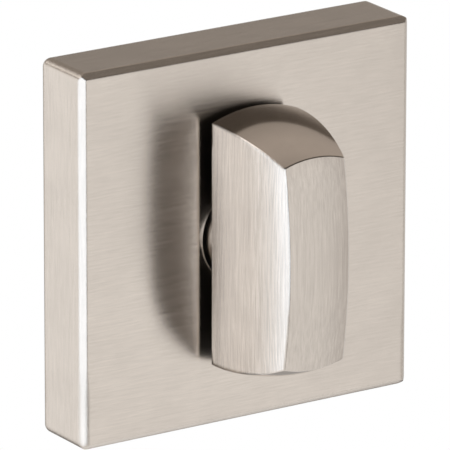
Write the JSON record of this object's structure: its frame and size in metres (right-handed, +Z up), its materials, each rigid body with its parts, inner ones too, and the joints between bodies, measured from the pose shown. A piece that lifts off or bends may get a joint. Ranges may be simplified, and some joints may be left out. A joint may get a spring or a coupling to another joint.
{
  "type": "thumb turn lock",
  "caption": "Square bevelled rose with a domed, tapering thumb turn on a round neck; a square spindle behind it works a bathroom or privacy lock.",
  "frame": {"origin": "centre of the rose's back, on the door face and on the turning axis", "axes": "+Y into the door along the turning axis, +Z up, +X to the right as seen from the room"},
  "size_m": [0.052, 0.0596, 0.052],
  "materials": {
    "satin_nickel_rose": "satin brushed nickel plate on a zinc casting",
    "satin_nickel_knob": "satin brushed nickel plate on a zinc casting",
    "plated_base": "bright zinc plate",
    "plated_steel": "bright zinc plate",
    "spring_steel": "oiled spring steel",
    "black_steel": "blackened steel",
    "black_acetal": "plain black moulded plastic"
  },
  "bodies": {
    "rose": {"rose_cover": "satin_nickel_rose", "base_plate": "plated_base", "neck_bush": "black_acetal", "cover_grub_screw": "black_steel"},
    "turn": {"thumb_knob": "satin_nickel_knob", "spindle": "plated_steel", "spindle_pin": "spring_steel", "thrust_washer": "spring_steel", "wave_washer": "spring_steel", "retaining_ring": "spring_steel"}
  },
  "joints": [
    {"name": "turn", "type": "hinge", "parent": "rose", "child": "turn", "pos_m": [0, 0, 0], "axis": [0, -1, 0], "range_deg": [-90, 90]}
  ]
}
